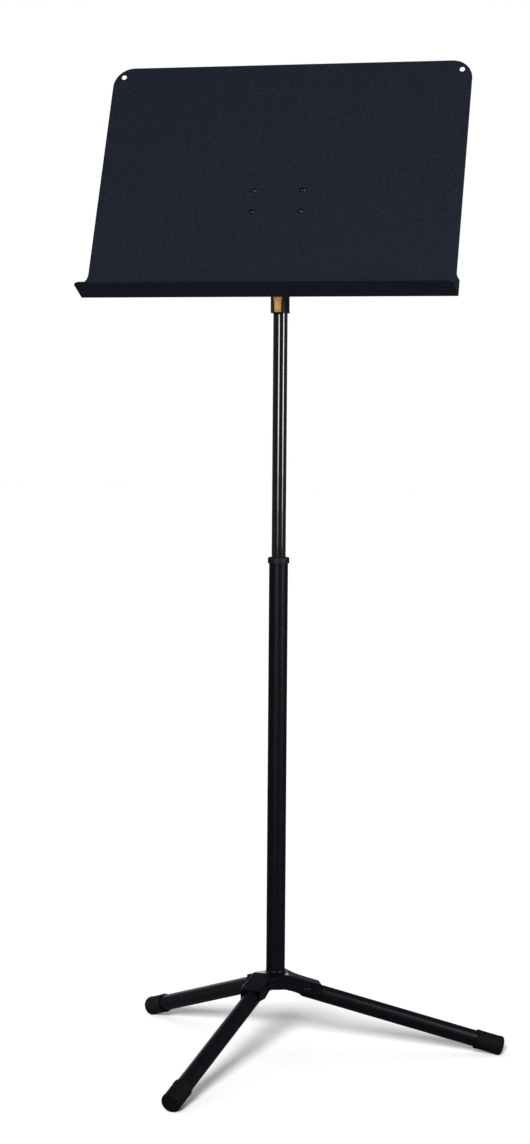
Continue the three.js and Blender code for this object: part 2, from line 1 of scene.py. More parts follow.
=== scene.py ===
"""Looks, light and camera for an orchestra music stand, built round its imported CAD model.

The pieces' dimensions are in millimetres; the camera, the lights, the relief of the finishes and what
the frame gives are in metres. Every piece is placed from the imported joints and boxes.
A piece is shaped in its own part's frame and its place is baked into its mesh, so its object stays at
the origin and its material is laid out in the stand's own metres.
"""

import json
import math

import bmesh
import bpy
from mathutils import Matrix, Vector, noise

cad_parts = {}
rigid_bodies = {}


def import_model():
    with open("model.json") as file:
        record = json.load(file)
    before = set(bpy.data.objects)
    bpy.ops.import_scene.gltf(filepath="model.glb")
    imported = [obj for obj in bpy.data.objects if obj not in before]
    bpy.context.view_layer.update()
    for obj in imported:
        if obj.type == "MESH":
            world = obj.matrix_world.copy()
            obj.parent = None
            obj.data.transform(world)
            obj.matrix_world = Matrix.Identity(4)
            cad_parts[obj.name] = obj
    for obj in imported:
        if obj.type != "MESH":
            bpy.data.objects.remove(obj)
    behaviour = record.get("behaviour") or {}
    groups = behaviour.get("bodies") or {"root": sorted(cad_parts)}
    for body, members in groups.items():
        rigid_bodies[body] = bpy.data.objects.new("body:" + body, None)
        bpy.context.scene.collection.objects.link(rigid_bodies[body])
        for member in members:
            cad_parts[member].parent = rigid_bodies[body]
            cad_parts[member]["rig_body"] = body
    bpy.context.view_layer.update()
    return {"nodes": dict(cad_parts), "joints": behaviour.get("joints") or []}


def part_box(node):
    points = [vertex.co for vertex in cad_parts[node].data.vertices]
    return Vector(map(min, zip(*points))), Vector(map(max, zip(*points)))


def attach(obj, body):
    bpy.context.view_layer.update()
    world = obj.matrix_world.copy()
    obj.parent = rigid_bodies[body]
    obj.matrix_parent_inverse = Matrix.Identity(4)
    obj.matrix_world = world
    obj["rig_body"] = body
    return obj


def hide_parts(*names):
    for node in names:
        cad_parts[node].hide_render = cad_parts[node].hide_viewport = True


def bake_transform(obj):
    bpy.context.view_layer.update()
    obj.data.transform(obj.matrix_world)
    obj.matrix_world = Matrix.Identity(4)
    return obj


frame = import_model()
NODES = frame["nodes"]
JOINTS = {joint["name"]: joint for joint in frame["joints"]}
SIDES = ("front", "right", "left")

# ------------------------------------------------------------------ dimensions

DESK_TILT = math.radians(23.3)  # how far the desk leans back
LEG_SLOPE = math.radians(17.4)
GAP = 0.3  # left between pieces that touch
TUBE_WALL = {"lower": 1.6, "upper": 1.2, "leg": 1.5}
LEG_END = 322  # the leg tube's end, along its slope from under the mast
LEG_REACH = 40  # the leg's hinge, level from the mast
LEG_RADIUS = 11.1
FOOT = {"radius": 13.2, "length": 38, "end_wall": 3, "clearance": 0.25}
COLLAR = {"radius": 14.5, "skirt": 2.4, "bore": 9.95, "seat": 13.0, "bush": 10.75}
PLUG_INSET = 0.6  # of the plug's flange inside the tube's outside
WELD = {"width": 3.2, "beads": 30, "ripple": 0.16, "wander": 0.25}
PIN = {"radius": 2.5, "head": 5.0, "dome": 1.8, "cheek": 14.5}

PANEL = {"face": 27.7, "sheet": 1.2, "half_width": 246.9, "top": 206.4, "round": 28}
SHELF = {"below": 140.1, "half_width": 251.35, "depth": 46.3, "corner": 10, "bend": 2}
FLARE = {"rise": 24, "radius": 16, "shoulder": 2.5}  # the panel's sides spread into the shelf
CORNER_HOLE = {"radius": 3.5, "side": 232.7, "below": 13.8}
BORDER = {"half_width": 98, "top": 164, "bottom": 129, "bead": 1.6, "proud": 0.28}
SCREW = {"side": 32.9, "rise": 15.8, "shank": 2.0, "head": 3.7, "dome": 2.0, "end": 16.4}
SCREW_THREAD = {"pitch": 0.7, "clearance": 0.35}
SCREW_NUT = {"flats": 7, "bore": 0.25, "height": 3.2}
BRACKET = {"sheet": 2.5, "ear": 17.3}
BOLT = {"radius": 4, "head": 7, "hole": 4.3, "pitch": 1.25, "nut_flats": 13}
TRIGGER = {"half": 4.9, "hub": 3.4, "pin": 1.2, "pin_half": 9.3}
PAD = {"start": 8, "full": 24, "tip": 46, "wider": 2.4, "flare": 0.9, "narrow": 1.7, "length": 5.4}
NOSE = {"half": 2.5, "low": 2, "high": 5.6, "end": -1.0}
ROD_SLOT = {"half": 3.2, "deep": 12, "below_rod": 3, "above_pivot": 7}
SPRING = {"coil": 5.2, "wire": 0.7, "turns": 7}

MM = 0.001
IN_MM = Matrix.Scale(MM, 4)


def joint_point(name):
    return Vector(JOINTS[name]["pos_m"])


POLE = joint_point("mast_swivel")


def on_mast(z=0.0):
    """Millimetres about the mast's axis, from a height in metres."""
    return Matrix.Translation((POLE.x, POLE.y, z)) @ IN_MM


def on_desk():
    """X across the desk, Y up it and Z out of its face, from the tilt hinge."""
    lean = Matrix.Rotation(math.pi / 2 - DESK_TILT, 4, "X")
    return Matrix.Translation(joint_point("desk_tilt")) @ lean @ IN_MM


def on_leg(side):
    """X out along the leg's tube from its hinge, Z square to it in the leg's upright plane."""
    axis = JOINTS[f"leg_fold_{side}"]["axis"]
    turn = Matrix.Rotation(math.atan2(-axis[0], axis[1]), 4, "Z")
    slope = Matrix.Rotation(LEG_SLOPE, 4, "Y")
    return Matrix.Translation(joint_point(f"leg_fold_{side}")) @ turn @ slope @ IN_MM


# ------------------------------------------------------------------ meshes


def piece(name, bm, place, body, finish, replaces=(), sharp=38):
    """An object from a mesh in millimetres, placed in the stand's frame and riding on its body.

    A piece with no body is left unattached.
    """
    bm.transform(place)
    bmesh.ops.recalc_face_normals(bm, faces=bm.faces)
    mesh = bpy.data.meshes.new(name)
    bm.to_mesh(mesh)
    bm.free()
    mesh.shade_smooth()
    mesh.set_sharp_from_angle(angle=math.radians(sharp))
    mesh.materials.append(finish)
    made = bpy.data.objects.new(name, mesh)
    bpy.context.scene.collection.objects.link(made)
    if body:
        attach(made, body)
    if replaces:
        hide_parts(*replaces)
    return made


def soften(corners, steps=5, support=0.35):
    """A closed or open profile of (a, b) or (a, b, radius) corners with its corners rounded.

    A short straight stretch beside each arc keeps the flats' shading flat.
    """
    closed = corners[0][0] > 1e-6
    count = len(corners)
    out = []
    for i, corner in enumerate(corners):
        here = Vector(corner[:2])
        radius = corner[2] if len(corner) > 2 else 0
        if radius <= 0 or (not closed and i in (0, count - 1)):
            out.append(here)
            continue
        before = Vector(corners[i - 1][:2]) - here
        after = Vector(corners[(i + 1) % count][:2]) - here
        half = before.angle(after) / 2
        cut = min(radius / math.tan(half), before.length * 0.46, after.length * 0.46)
        arc = cut * math.tan(half)
        before.normalize()
        after.normalize()
        centre = here + (before + after).normalized() * (arc / math.sin(half))
        start = here + before * cut
        end = here + after * cut
        out.append(start + before * min(support, cut))
        sweep = math.pi - 2 * half
        first = start - centre
        turn = 1 if first.x * (end - centre).y - first.y * (end - centre).x > 0 else -1
        for step in range(steps + 1):
            a = turn * sweep * step / steps
            out.append(centre + Vector((
                first.x * math.cos(a) - first.y * math.sin(a),
                first.x * math.sin(a) + first.y * math.cos(a))))
        out.append(end + after * min(support, cut))
    return out


def lathe(profile, sides=96, shape=None):
    """A closed solid of revolution about Z; shape(angle, radius, z) may move each point."""
    bm = bmesh.new()
    rings = []
    for r, z in profile:
        if r < 1e-6:
            rings.append([bm.verts.new((0, 0, z))])
            continue
        ring = []
        for k in range(sides):
            angle = 2 * math.pi * k / sides
            rr, zz = shape(angle, r, z) if shape else (r, z)
            ring.append(bm.verts.new((rr * math.cos(angle), rr * math.sin(angle), zz)))
        rings.append(ring)
    pairs = list(zip(rings, rings[1:]))
    if len(rings[0]) > 1:
        pairs.append((rings[-1], rings[0]))
    for low, high in pairs:
        if len(low) == 1 and len(high) == 1:
            continue
        for k in range(sides):
            m = (k + 1) % sides
            if len(low) == 1:
                bm.faces.new((low[0], high[m], high[k]))
            elif len(high) == 1:
                bm.faces.new((low[k], low[m], high[0]))
            else:
                bm.faces.new((low[k], low[m], high[m], high[k]))
    return bm


def tube(radius, bore, low, high, lip=0.5, sides=96):
    return lathe(soften([
        (bore, low, lip), (radius, low, lip), (radius, high, lip), (bore, high, lip)], 4), sides)


def about(axis, bm):
    """The same mesh with its Z laid along X or Y."""
    turn = Matrix.Rotation(math.pi / 2, 4, "Y" if axis == "x" else "X")
    bm.transform(turn)
    return bm


def loose(bm):
    """An object that holds a mesh while modifiers work on it."""
    mesh = bpy.data.meshes.new("tool")
    bmesh.ops.recalc_face_normals(bm, faces=bm.faces)
    bm.to_mesh(mesh)
    bm.free()
    made = bpy.data.objects.new("tool", mesh)
    bpy.context.scene.collection.objects.link(made)
    return made


def evaluated(holder):
    """The mesh that an object's modifiers make, as a bmesh; the object is used up."""
    bpy.context.view_layer.update()
    bm = bmesh.new()
    bm.from_object(holder, bpy.context.evaluated_depsgraph_get())
    bpy.data.objects.remove(holder)
    return bm


def boolean(bm, tool, how):
    """bm joined with (UNION) or cut by (DIFFERENCE) the closed mesh tool."""
    holder = loose(bm)
    other = loose(tool)
    change = holder.modifiers.new("change", "BOOLEAN")
    change.object = other
    change.operation = how
    change.solver = "MANIFOLD"
    done = evaluated(holder)
    bpy.data.objects.remove(other)
    return done


def box(low, high):
    bm = bmesh.new()
    bmesh.ops.create_cube(bm, size=1)
    low, high = Vector(low), Vector(high)
    for vert in bm.verts:
        vert.co = Vector(a + (b - a) * (c + 0.5) for a, b, c in zip(low, high, vert.co))
    return bm


def moulded(bm, grain, rounds, keep):
    """A closed mesh remade as an even skin with every edge rounded a little.

    grain is the skin's face size, rounds how often it is smoothed and keep the share of faces kept.
    """
    holder = loose(bm)
    skin = holder.modifiers.new("skin", "REMESH")
    skin.mode = "VOXEL"
    skin.voxel_size = grain
    skin.adaptivity = 0
    relax = holder.modifiers.new("relax", "SMOOTH")
    relax.factor = 0.5
    relax.iterations = rounds
    thin = holder.modifiers.new("thin", "DECIMATE")
    thin.ratio = keep
    return evaluated(holder)


def cad_copy(node):
    """A CAD node's shape as a new mesh in millimetres in the stand's frame."""
    bm = bmesh.new()
    bm.from_mesh(NODES[node].data)
    bmesh.ops.remove_doubles(bm, verts=bm.verts, dist=1e-6)
    bm.transform(Matrix.Scale(1 / MM, 4))
    return bm


# ------------------------------------------------------------------ materials


class Finish:
    """A procedural finish: a Principled surface whose detail is laid out in the stand's metres."""

    def __init__(self, name, color, roughness, metallic=0.0, coat=0.0, coat_roughness=0.1, specular=0.5):
        self.material = bpy.data.materials.new(f"{name}_finish")
        self.material["slot"] = name
        self.material.use_nodes = True
        self.tree = self.material.node_tree
        self.surface = self.tree.nodes["Principled BSDF"]
        self.set("Base Color", (*color, 1))
        self.set("Roughness", roughness)
        self.set("Metallic", metallic)
        self.set("Coat Weight", coat)
        self.set("Coat Roughness", coat_roughness)
        self.set("Specular IOR Level", specular)
        self.place = self.tree.nodes.new("ShaderNodeTexCoord").outputs["Object"]
        self.normal = None

    def set(self, socket, value):
        self.surface.inputs[socket].default_value = value

    def noise(self, scale, detail=3, roughness=0.55, stretch=None, distortion=0.0):
        node = self.tree.nodes.new("ShaderNodeTexNoise")
        node.inputs["Scale"].default_value = scale
        node.inputs["Detail"].default_value = detail
        node.inputs["Roughness"].default_value = roughness
        node.inputs["Distortion"].default_value = distortion
        place = self.place
        if stretch:
            mapping = self.tree.nodes.new("ShaderNodeMapping")
            mapping.inputs["Scale"].default_value = stretch
            self.tree.links.new(place, mapping.inputs["Vector"])
            place = mapping.outputs["Vector"]
        self.tree.links.new(place, node.inputs["Vector"])
        return node.outputs["Fac"]

    def cells(self, scale):
        node = self.tree.nodes.new("ShaderNodeTexVoronoi")
        node.inputs["Scale"].default_value = scale
        self.tree.links.new(self.place, node.inputs["Vector"])
        return node.outputs["Distance"]

    def between(self, value, low, high, to_low=0.0, to_high=1.0):
        node = self.tree.nodes.new("ShaderNodeMapRange")
        node.inputs["From Min"].default_value = low
        node.inputs["From Max"].default_value = high
        node.inputs["To Min"].default_value = to_low
        node.inputs["To Max"].default_value = to_high
        self.tree.links.new(value, node.inputs["Value"])
        return node.outputs["Result"]

    def tint(self, amounts, first, second):
        """Base colour between two colours by a 0 to 1 value."""
        node = self.tree.nodes.new("ShaderNodeMix")
        node.data_type = "RGBA"
        node.inputs["A"].default_value = (*first, 1)
        node.inputs["B"].default_value = (*second, 1)
        self.tree.links.new(amounts, node.inputs["Factor"])
        self.tree.links.new(node.outputs["Result"], self.surface.inputs["Base Color"])

    def gloss(self, value):
        self.tree.links.new(value, self.surface.inputs["Roughness"])

    def bump(self, height, depth, strength=1.0):
        """Adds relief of a real depth in metres on top of what is there."""
        node = self.tree.nodes.new("ShaderNodeBump")
        node.inputs["Strength"].default_value = strength
        node.inputs["Distance"].default_value = depth
        self.tree.links.new(height, node.inputs["Height"])
        if self.normal:
            self.tree.links.new(self.normal, node.inputs["Normal"])
        self.normal = node.outputs["Normal"]
        self.tree.links.new(self.normal, self.surface.inputs["Normal"])


def textured_paint():
    """Powder coat with a fine leathery texture: small rounded grains of random tone, laid on their relief
    so that the crests are painted paler as a painted highlight and the hollows darker as painted shade.
    """
    made = Finish("textured_paint", (0.0152, 0.0203, 0.0393), 0.62, specular=0.28)
    grain_relief_and_shade = made.noise(430, 6, 0.82)
    drift = made.noise(14, 3, 0.5)
    # random grain tone following the grains' bump height: painted highlight on the crests and painted shade
    # in the hollows between grains
    made.tint(made.between(grain_relief_and_shade, 0.42, 0.58), (0.0084, 0.0114, 0.0228), (0.0220, 0.0292, 0.0556))
    made.gloss(made.between(drift, 0.3, 0.7, 0.56, 0.68))
    made.bump(made.noise(1500, 4, 0.62), 0.00009, 0.8)
    made.bump(grain_relief_and_shade, 0.00006, 0.6)
    return made.material


def satin_paint():
    """Smooth black stove enamel with a faint orange peel."""
    made = Finish("satin_paint", (0.0040, 0.0050, 0.0076), 0.36, specular=0.27)
    mottle = made.between(made.noise(60, 4), 0.35, 0.65)
    made.tint(mottle, (0.0033, 0.0042, 0.0066), (0.0052, 0.0064, 0.0098))
    made.gloss(made.between(made.noise(260, 3), 0.3, 0.7, 0.30, 0.40))
    made.bump(made.noise(520, 2, 0.4), 0.000020, 0.5)
    return made.material


def polished_satin():
    """The same black on the pressed screw heads, which come out shinier."""
    made = Finish("satin_paint", (0.0042, 0.0048, 0.0068), 0.16, specular=0.6)
    mottle = made.between(made.noise(300, 3), 0.35, 0.65)
    made.tint(mottle, (0.0038, 0.0044, 0.0060), (0.0052, 0.0060, 0.0080))
    made.gloss(made.between(made.noise(900, 2), 0.3, 0.7, 0.13, 0.19))
    made.bump(made.noise(1400, 2, 0.4), 0.000006, 0.4)
    return made.material


def gloss_paint():
    """Glossy black enamel, near a mirror, with the slightest drawn waviness along the tube."""
    made = Finish(
        "gloss_paint", (0.0030, 0.0036, 0.0052), 0.09, coat=1.0, coat_roughness=0.02, specular=0.8)
    mottle = made.between(made.noise(40, 3), 0.3, 0.7)
    made.tint(mottle, (0.0026, 0.0031, 0.0046), (0.0036, 0.0043, 0.0060))
    made.gloss(made.between(made.noise(900, 3, stretch=(1, 1, 0.05)), 0.3, 0.7, 0.07, 0.11))
    made.bump(made.noise(120, 1, 0.3, stretch=(1, 1, 0.06)), 0.000010, 0.2)
    return made.material


def black_plastic():
    """Moulded nylon with a spark-eroded grain."""
    made = Finish("black_plastic", (0.0085, 0.0092, 0.0108), 0.48, specular=0.4)
    mottle = made.between(made.noise(180, 4), 0.35, 0.65)
    made.tint(mottle, (0.0070, 0.0076, 0.0090), (0.0105, 0.0112, 0.0130))
    made.gloss(made.between(made.noise(1200, 2), 0.3, 0.7, 0.42, 0.56))
    made.bump(made.noise(2200, 2), 0.000020, 0.6)
    return made.material


def amber_plastic():
    """Translucent-looking amber moulding with faint flow lines."""
    made = Finish("amber_plastic", (0.80, 0.42, 0.080), 0.42, specular=0.35)
    made.set("Subsurface Weight", 0.15)
    made.set("Subsurface Radius", (0.003, 0.0016, 0.0006))
    flow = made.noise(220, 3, stretch=(1, 1, 0.25), distortion=0.6)
    made.tint(made.between(flow, 0.35, 0.65), (0.74, 0.375, 0.066), (0.86, 0.465, 0.098))
    made.gloss(made.between(made.noise(1400, 2), 0.3, 0.7, 0.38, 0.48))
    made.bump(made.noise(1800, 2), 0.000012, 0.5)
    return made.material


def black_rubber():
    """Matt rubber with a fine moulded grain and a breath of dust."""
    made = Finish("black_rubber", (0.0050, 0.0056, 0.0074), 0.74, specular=0.24)
    dust = made.between(made.noise(90, 5), 0.3, 0.75)
    made.tint(dust, (0.0038, 0.0043, 0.0058), (0.0078, 0.0086, 0.0110))
    made.gloss(made.between(made.noise(700, 3), 0.3, 0.7, 0.66, 0.82))
    made.bump(made.noise(1600, 3), 0.00004, 0.7)
    return made.material


def white_nylon():
    """Natural nylon, slightly uneven and waxy."""
    made = Finish("white_nylon", (0.70, 0.68, 0.60), 0.5)
    made.set("Subsurface Weight", 0.1)
    made.set("Subsurface Radius", (0.002, 0.0018, 0.0014))
    made.tint(made.between(made.noise(120, 3), 0.3, 0.7), (0.66, 0.64, 0.56), (0.74, 0.72, 0.65))
    made.gloss(made.between(made.noise(800, 2), 0.3, 0.7, 0.42, 0.58))
    made.bump(made.noise(1500, 2), 0.000015, 0.5)
    return made.material


def zinc_steel():
    """Bright zinc plating: a crystalline mottle with fine turning marks."""
    made = Finish("zinc_steel", (0.56, 0.58, 0.60), 0.32, metallic=1.0)
    mottle = made.cells(900)
    made.tint(made.between(mottle, 0.0, 0.9), (0.46, 0.48, 0.50), (0.64, 0.66, 0.68))
    made.gloss(made.between(made.noise(700, 4), 0.3, 0.7, 0.26, 0.42))
    made.bump(made.noise(2600, 2, stretch=(1, 1, 0.15)), 0.000010, 0.5)
    return made.material


TEXTURED = textured_paint()
SATIN = satin_paint()
POLISHED = polished_satin()
GLOSS = gloss_paint()
PLASTIC = black_plastic()
AMBER = amber_plastic()
RUBBER = black_rubber()
NYLON = white_nylon()
ZINC = zinc_steel()
CAD_FINISHES = {
    TEXTURED: ("desk_tray",),
    SATIN: ("hub_spider", "lower_tube", "leg_tube", "leg_pin", "tilt_knuckle", "desk_bracket"),
    POLISHED: ("desk_screw",),
    GLOSS: ("upper_tube",),
    PLASTIC: ("tube_plug", "height_collar", "clutch_housing"),
    AMBER: ("trigger_lever",),
    RUBBER: ("foot_cap",),
    NYLON: ("leg_bush", "mast_guide", "expander_sleeve", "rod_guide", "friction_washer"),
    ZINC: ("expander_cone", "cone_nut", "pull_rod", "rod_stop", "clutch_spring", "trigger_pin",
           "desk_nut", "tilt_bolt", "tilt_washer", "tilt_nut"),
}
for finish, starts in CAD_FINISHES.items():
    for node, shown in NODES.items():
        if node.startswith(starts):
            shown.data.materials.clear()
            shown.data.materials.append(finish)

# ------------------------------------------------------------------ base


def hub():
    """The pressed hub: an even skin over its shape, so that every bend and cut edge is rounded."""
    skin = moulded(cad_copy("hub_spider"), 0.45, 9, 0.35)
    piece("hub_pressing", skin, IN_MM, "base", SATIN, ["hub_spider"], sharp=75)


def weld():
    """The bead that joins the mast's tube to the hub."""
    low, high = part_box("lower_tube")
    radius = (high.x - low.x) / 2 / MM
    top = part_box("hub_spider")[1].z / MM

    width, hair = WELD["width"], 0.05

    def ripple(angle, r, z):
        """Even ripples and a slow wander that grow out from the tube."""
        wave = math.sin(angle * WELD["beads"])
        slow = noise.noise(Vector((math.cos(angle), math.sin(angle), 0)) * 2)
        out = max(0.0, r - radius)
        lift = 0.07 * math.sin(angle * WELD["beads"] + 1) * min(1, out)
        return r + (WELD["ripple"] * wave + WELD["wander"] * slow) * min(1, out / 1.5), z + lift

    profile = [(radius + hair, top + hair), (radius + width, top + hair)]
    for step in range(1, 9):
        a = step / 9 * math.pi / 2
        profile.append((radius + width - 3.1 * math.sin(a), top + 3.1 - 3.05 * math.cos(a)))
    profile.append((radius + hair, top + width))
    piece("pole_weld", lathe(profile, 208, ripple), on_mast(), "base", SATIN, sharp=60)


def lower_tube():
    low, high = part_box("lower_tube")
    radius = (high.x - low.x) / 2 / MM
    bm = tube(radius, radius - TUBE_WALL["lower"], low.z / MM, high.z / MM, 0.5)
    piece("lower_mast_tube", bm, on_mast(), "base", SATIN, ["lower_tube"])


def collar():
    low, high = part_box("height_collar")
    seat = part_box("lower_tube")[1].z / MM + GAP
    foot, top = low.z / MM, high.z / MM
    radius, skirt = COLLAR["radius"], COLLAR["skirt"]
    profile = soften([
        (COLLAR["bore"], foot, 0.3), (COLLAR["bush"], foot, 0.3), (COLLAR["bush"], seat),
        (COLLAR["seat"], seat), (COLLAR["seat"], seat - skirt, 0.2), (radius, seat - skirt, 0.5),
        (radius, top, 2.7), (COLLAR["bore"], top, 0.5)], 7)
    piece("collar_ring", lathe(profile, 112), on_mast(), "base", PLASTIC, ["height_collar"])


def plug():
    low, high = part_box("tube_plug")
    radius = (high.x - low.x) / 2 / MM
    bore = radius + PLUG_INSET - TUBE_WALL["lower"] - GAP
    foot, top = low.z / MM, high.z / MM
    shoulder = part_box("lower_tube")[0].z / MM - GAP
    profile = soften([
        (0, foot), (radius, foot, 1.0), (radius, shoulder, 0.3), (bore, shoulder),
        (bore, top, 0.8), (0, top)], 5)
    piece("tube_end_plug", lathe(profile, 80), on_mast(), "base", PLASTIC, ["tube_plug"])


# ------------------------------------------------------------------ legs


def leg_tube(side):
    """The tube from its rounded inner end, which turns inside the hub's arm, to the foot."""
    radius = LEG_RADIUS
    bore = radius - TUBE_WALL["leg"]
    end = LEG_END - LEG_REACH / math.cos(LEG_SLOPE)
    bm = tube(radius, bore, 0, end, 0.4, 88)
    about("x", bm)
    for vert in bm.verts:
        share = 1 - vert.co.x / end
        vert.co.x -= share * math.sqrt(max(0.0, (radius - 0.05) ** 2 - vert.co.z ** 2))
    hole = PIN["radius"] + 1.8  # room for the bush on the pin
    cross = about("y", lathe([(0, -20), (hole, -20), (hole, 20), (0, 20)], 40))
    bm = boolean(bm, cross, "DIFFERENCE")
    piece(f"leg_{side}", bm, on_leg(side), f"leg_{side}", SATIN, [f"leg_tube_{side}"])


def foot_cap(side):
    """A rubber boot with a soft rim at its mouth, a slightly slimmer waist along its middle and a rounded
    end.
    """
    radius, length = FOOT["radius"], FOOT["length"]
    bore = LEG_RADIUS + FOOT["clearance"]
    wall = LEG_END - LEG_REACH / math.cos(LEG_SLOPE) + GAP
    end = wall + FOOT["end_wall"]
    mouth = end - length
    profile = soften([
        (0, wall), (bore, wall), (bore, mouth, 0.4), (radius, mouth, 1.1),
        (radius, mouth + 3.4, 0.4), (radius - 0.35, mouth + 3.9, 0.4), (radius - 0.35, end - 7, 0.6),
        (radius, end - 6.2, 0.6), (radius, end, 4.2), (0, end)], 7)
    bm = about("x", lathe(profile, 96))
    place = on_leg(side)
    bm.transform(place)
    for vert in bm.verts:
        vert.co.z = max(vert.co.z, 0.0)
    piece(f"foot_{side}", bm, Matrix(), f"leg_{side}", RUBBER, [f"foot_cap_{side}"])


def rivet(side):
    """The leg's hinge rivet: a domed head on one cheek and a flush end on the other."""
    radius, head, dome, cheek = PIN["radius"], PIN["head"], PIN["dome"], PIN["cheek"]
    seat = cheek + GAP
    profile = [
        (0, -cheek), (radius - 0.4, -cheek), (radius, -cheek + 0.4), (radius, seat), (head - 0.2, seat)]
    rise = dome * 0.96
    for step in range(11):
        a = step / 10 * math.pi / 2
        profile.append(((head - 0.02) * math.cos(a), seat + 0.25 + rise * math.sin(a) ** 1.1 * 0.86))
    bm = lathe(profile, 56)
    bm.transform(Matrix.Rotation(math.pi / 2, 4, "X"))
    piece(f"leg_rivet_{side}", bm, on_leg(side), "base", SATIN, [f"leg_pin_{side}"], sharp=50)


# ------------------------------------------------------------------ mast


def upper_tube():
    low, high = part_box("upper_tube")
    radius = (high.x - low.x) / 2 / MM
    bm = tube(radius, radius - TUBE_WALL["upper"], low.z / MM, high.z / MM, 0.35, 128)
    rod_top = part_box("pull_rod")[1].z / MM
    pivot = joint_point("trigger_squeeze").z / MM
    half, deep = ROD_SLOT["half"], ROD_SLOT["deep"]
    low_end, high_end = rod_top - ROD_SLOT["below_rod"], pivot + ROD_SLOT["above_pivot"]
    slot = box((-half, -deep, low_end), (half, 0, high_end))
    bm = boolean(bm, slot, "DIFFERENCE")
    piece("upper_mast_tube", bm, on_mast(), "mast", GLOSS, ["upper_tube"])


def housing():
    skin = moulded(cad_copy("clutch_housing"), 0.28, 5, 0.4)
    piece("clutch_body", skin, IN_MM, "mast", PLASTIC, ["clutch_housing"], sharp=70)


def curve_through(points, steps):
    """A smooth run of points through the given ones."""
    ends = [points[0] * 2 - points[1], *points, points[-1] * 2 - points[-2]]
    out = []
    for i in range(1, len(ends) - 2):
        p0, p1, p2, p3 = ends[i - 1:i + 3]
        for step in range(steps):
            t = step / steps
            out.append(0.5 * (2 * p1 + (p2 - p0) * t + (2 * p0 - 5 * p1 + 4 * p2 - p3) * t * t
                              + (3 * p1 - p0 - 3 * p2 + p3) * t ** 3))
    out.append(points[-1])
    return out


def lever():
    """The squeeze lever: a blade with bevelled long edges, on a hub with a nose behind it."""
    steps = 10
    front = curve_through([Vector(p) for p in (
        (-17.2, -1.5), (-18.9, 3.7), (-20.0, 21.7), (-24.4, 40.7), (-26.5, 49.6), (-26.3, 51.2))], steps)
    back = curve_through([Vector(p) for p in (
        (-14.6, -1.5), (-15.5, 3.7), (-16.8, 21.7), (-20.8, 42.0), (-22.8, 50.0), (-24.6, 51.2))], steps)
    bevel, crown = 1.35, 0.18
    bm = bmesh.new()
    rings = []
    for f, b in zip(front, back):
        z = (f.y + b.y) / 2
        half = TRIGGER["half"]
        if z > PAD["start"]:
            t = min(1.0, (z - PAD["start"]) / (PAD["full"] - PAD["start"]))
            past = max(0.0, min(1.0, (z - PAD["full"]) / (PAD["tip"] - PAD["full"])))
            half += PAD["wider"] * t * t * (3 - 2 * t) + PAD["flare"] * past
        if z > PAD["tip"]:
            half -= PAD["narrow"] * ((z - PAD["tip"]) / PAD["length"]) ** 2
        cut = min(bevel, (b.x - f.x) * 0.42)
        section = [
            (-half, b.x, b.y), (-half, f.x + cut, f.y), (-half + cut, f.x, f.y),
            (-half * 0.35, f.x + crown, f.y), (half * 0.35, f.x + crown, f.y),
            (half - cut, f.x, f.y), (half, f.x + cut, f.y), (half, b.x, b.y)]
        rings.append([bm.verts.new(p) for p in section])
    for low, high in zip(rings, rings[1:]):
        for k in range(len(low)):
            m = (k + 1) % len(low)
            bm.faces.new((low[k], low[m], high[m], high[k]))
    bm.faces.new(list(reversed(rings[0])))
    bm.faces.new(rings[-1])
    pivot = joint_point("trigger_squeeze")
    y = (pivot.y - POLE.y) / MM
    half = TRIGGER["half"]
    hub = about("x", lathe([(0, -half), (TRIGGER["hub"], -half), (TRIGGER["hub"], half), (0, half)], 48))
    hub.transform(Matrix.Translation((0, y, 0)))
    reach = NOSE["half"]
    nose = box((-reach, y - reach, NOSE["low"]), (reach, NOSE["end"], NOSE["high"]))
    bore = TRIGGER["pin"] + GAP
    hole = about("x", lathe([(0, -12), (bore, -12), (bore, 12), (0, 12)], 32))
    hole.transform(Matrix.Translation((0, y, 0)))
    bm = boolean(boolean(boolean(bm, hub, "UNION"), nose, "UNION"), hole, "DIFFERENCE")
    skin = moulded(bm, 0.2, 3, 0.5)
    piece("squeeze_lever", skin, on_mast(pivot.z), "trigger", AMBER, ["trigger_lever"], sharp=60)


def lever_pin():
    pivot = joint_point("trigger_squeeze")
    radius, half = TRIGGER["pin"], TRIGGER["pin_half"]
    profile = soften([(0, -half), (radius, -half, 0.3), (radius, half, 0.3), (0, half)], 4)
    bm = about("x", lathe(profile, 40))
    bm.transform(Matrix.Translation((0, (pivot.y - POLE.y) / MM, 0)))
    piece("lever_pin", bm, on_mast(pivot.z), "mast", ZINC, ["trigger_pin"])


def clutch_coil():
    """The clutch spring, with closed end turns, its foot on the guide; it rides on no body."""
    low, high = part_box("clutch_spring")
    wire, turns = SPRING["wire"], SPRING["turns"]
    around, sides = 36, 12  # steps in a turn and round the wire
    pitch = 2.1 * wire  # of the closed turns
    foot, top = low.z / MM + wire, high.z / MM - wire
    bm = bmesh.new()
    rings = []
    for step in range(turns * around + 1):
        turn = step / around
        if turn < 1:
            height = foot + pitch * turn
        elif turn > turns - 1:
            height = top - pitch * (turns - turn)
        else:
            height = foot + pitch + (turn - 1) / (turns - 2) * (top - foot - 2 * pitch)
        a = 2 * math.pi * turn
        ring = []
        for k in range(sides):
            b = 2 * math.pi * k / sides
            out = SPRING["coil"] + wire * math.cos(b)
            up = height + wire * math.sin(b)
            ring.append(bm.verts.new((out * math.cos(a), out * math.sin(a), up)))
        rings.append(ring)
    for here, there in zip(rings, rings[1:]):
        for k in range(sides):
            m = (k + 1) % sides
            bm.faces.new((here[k], here[m], there[m], there[k]))
    bm.faces.new(list(reversed(rings[0])))
    bm.faces.new(rings[-1])
    coil = piece("clutch_coil", bm, on_mast(), None, ZINC, ["clutch_spring"], sharp=60)
    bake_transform(coil)


